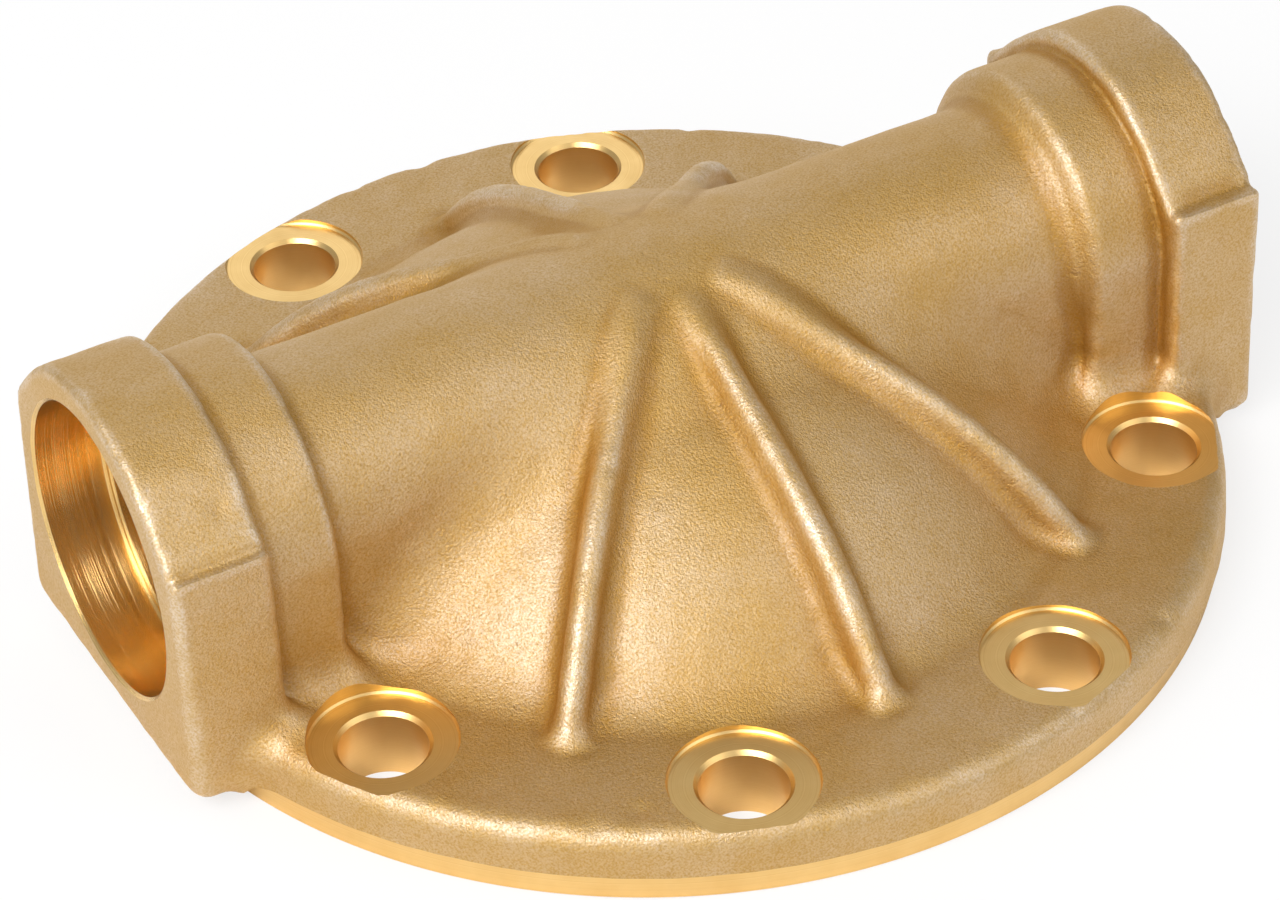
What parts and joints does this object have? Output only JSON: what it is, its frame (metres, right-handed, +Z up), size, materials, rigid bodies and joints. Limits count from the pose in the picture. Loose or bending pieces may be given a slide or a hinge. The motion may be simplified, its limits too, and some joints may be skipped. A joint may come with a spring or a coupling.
{
  "type": "piston pump head",
  "caption": "Round cast brass pump head with a ribbed dome over the pumping chamber, a cross tube with a port boss at each end, and a flange with spot-faced bolt holes.",
  "frame": {"origin": "centre of the flange's flat underside, which is the joint face", "axes": "+Z up out of the flange toward the dome, +X along the cross tube toward one port, +Y across the tube"},
  "size_m": [0.15, 0.1432, 0.0475],
  "materials": {
    "brass": "sand cast, with brighter machined joint face, bolt seats and port bores"
  },
  "bodies": {
    "root": {"pump_head": "brass"}
  },
  "joints": []
}
